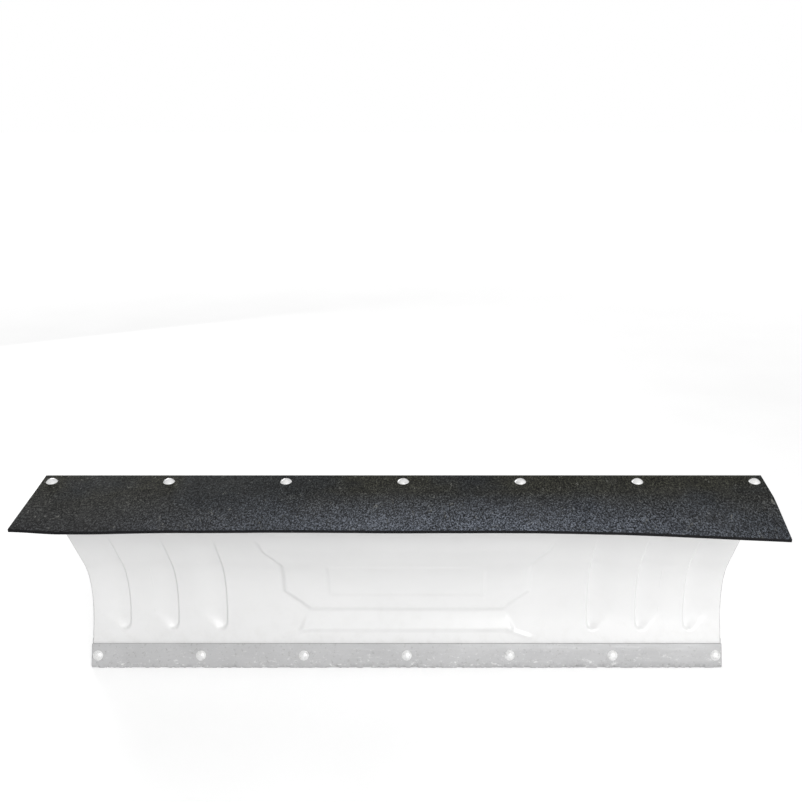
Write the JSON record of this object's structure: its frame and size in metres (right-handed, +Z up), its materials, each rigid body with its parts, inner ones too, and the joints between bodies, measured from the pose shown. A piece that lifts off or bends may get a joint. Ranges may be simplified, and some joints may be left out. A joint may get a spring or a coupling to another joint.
{
  "type": "atv plow blade",
  "caption": "Curved snow plow blade with bolted wear bar, rubber snow flap, skid shoes, spring trip hinge and a lockable swivel head for a push frame.",
  "frame": {"origin": "on the ground, in the middle of the wear bar's worn lower edge", "axes": "+X along the blade to the right as seen from the front, +Y back towards the vehicle, +Z up; left and right are as seen from the front"},
  "size_m": [1.384, 0.7024, 0.4964],
  "materials": {
    "blade_paint": "semi-gloss off-white enamel with scuffs",
    "wear_steel": "scratched light grey steel",
    "flap_rubber": "matte grained black rubber",
    "zinc_steel": "bright zinc plating",
    "spring_steel": "zinc-plated spring wire",
    "skid_steel": "worn dark steel, bright on the sole",
    "frame_paint": "textured black powder coat",
    "bumper_rubber": "matte",
    "plug_plastic": "matte"
  },
  "bodies": {
    "head": {"head_barrel": "frame_paint", "head_arm": "frame_paint", "head_flange": "frame_paint", "head_gussets": "frame_paint", "king_pin": "zinc_steel", "king_washers": "zinc_steel", "king_nut": "zinc_steel", "lock_bracket": "frame_paint", "lock_spring": "spring_steel"},
    "lock": {"lock_pin": "zinc_steel", "lock_collar": "zinc_steel", "pull_ring": "zinc_steel"},
    "swivel_frame": {"swivel_cheeks": "frame_paint", "sector_plate": "frame_paint", "lower_plate": "frame_paint", "stop_crossbar": "frame_paint", "stop_bumpers": "bumper_rubber", "spring_anchor_pins": "zinc_steel", "anchor_pin_clips": "zinc_steel"},
    "blade": {"moldboard": "blade_paint", "bottom_angle": "blade_paint", "cross_tube": "blade_paint", "tube_plugs": "plug_plastic", "pivot_ribs": "blade_paint", "mid_ribs": "blade_paint", "outer_ribs": "blade_paint", "wear_bar": "wear_steel", "wear_bar_bolts": "zinc_steel", "wear_bar_nuts": "zinc_steel", "flap_margin": "flap_rubber", "flap_bolts": "zinc_steel", "flap_washers": "zinc_steel", "flap_nuts": "zinc_steel", "skid_clamp_bolts": "zinc_steel", "skid_clamp_nuts": "zinc_steel", "trip_pins": "zinc_steel", "trip_pin_clips": "zinc_steel", "spring_eye_bolts": "zinc_steel", "spring_eye_nuts": "zinc_steel"},
    "flap": {"flap_apron": "flap_rubber"},
    "skid_left": {"skid_dish_left": "skid_steel", "skid_stem_left": "skid_steel"},
    "skid_right": {"skid_dish_right": "skid_steel", "skid_stem_right": "skid_steel"},
    "spring_left": {"trip_spring_left": "spring_steel"},
    "hook_left": {"spring_hook_left": "spring_steel"},
    "spring_right": {"trip_spring_right": "spring_steel"},
    "hook_right": {"spring_hook_right": "spring_steel"}
  },
  "joints": [
    {"name": "swivel", "type": "hinge", "parent": "head", "child": "swivel_frame", "pos_m": [0, 0.215, 0.1335], "axis": [0, 0, 1], "range_deg": [-25, 25]},
    {"name": "trip", "type": "hinge", "parent": "swivel_frame", "child": "blade", "pos_m": [0, 0.115, 0.1], "axis": [1, 0, 0], "range_deg": [0, 30], "stiffness_Nm_per_rad": 60, "springref_deg": -41.83},
    {"name": "flap_flex", "type": "hinge", "parent": "blade", "child": "flap", "pos_m": [0, -0.17946, 0.48508], "axis": [1, 0, 0], "range_deg": [-35, 30], "stiffness_Nm_per_rad": 12, "springref_deg": -5.64},
    {"name": "lock_slide", "type": "slide", "parent": "head", "child": "lock", "axis": [0, 0, 1], "range_m": [-0.02, 0], "deforming": ["lock_spring"]},
    {"name": "skid_left_slide", "type": "slide", "parent": "blade", "child": "skid_left", "axis": [0, 0, 1], "range_m": [-0.02, 0.035]},
    {"name": "spring_left_swing", "type": "hinge", "parent": "swivel_frame", "child": "spring_left", "pos_m": [-0.16, 0.18, 0.115], "axis": [1, 0, 0], "range_deg": [0, 25.5]},
    {"name": "spring_left_stretch", "type": "slide", "parent": "spring_left", "child": "hook_left", "axis": [0, -0.5591, 0.8291], "range_m": [0, 0.029]},
    {"name": "skid_right_slide", "type": "slide", "parent": "blade", "child": "skid_right", "axis": [0, 0, 1], "range_m": [-0.02, 0.035]},
    {"name": "spring_right_swing", "type": "hinge", "parent": "swivel_frame", "child": "spring_right", "pos_m": [0.16, 0.18, 0.115], "axis": [1, 0, 0], "range_deg": [0, 25.5]},
    {"name": "spring_right_stretch", "type": "slide", "parent": "spring_right", "child": "hook_right", "axis": [0, -0.5591, 0.8291], "range_m": [0, 0.029]}
  ],
  "couplings": [
    {"joint": "spring_left_swing", "follows": "trip", "ratio": 0.8483},
    {"joint": "spring_left_stretch", "follows": "trip", "m_per_rad": 0.05495},
    {"joint": "spring_right_swing", "follows": "trip", "ratio": 0.8483},
    {"joint": "spring_right_stretch", "follows": "trip", "m_per_rad": 0.05495}
  ]
}
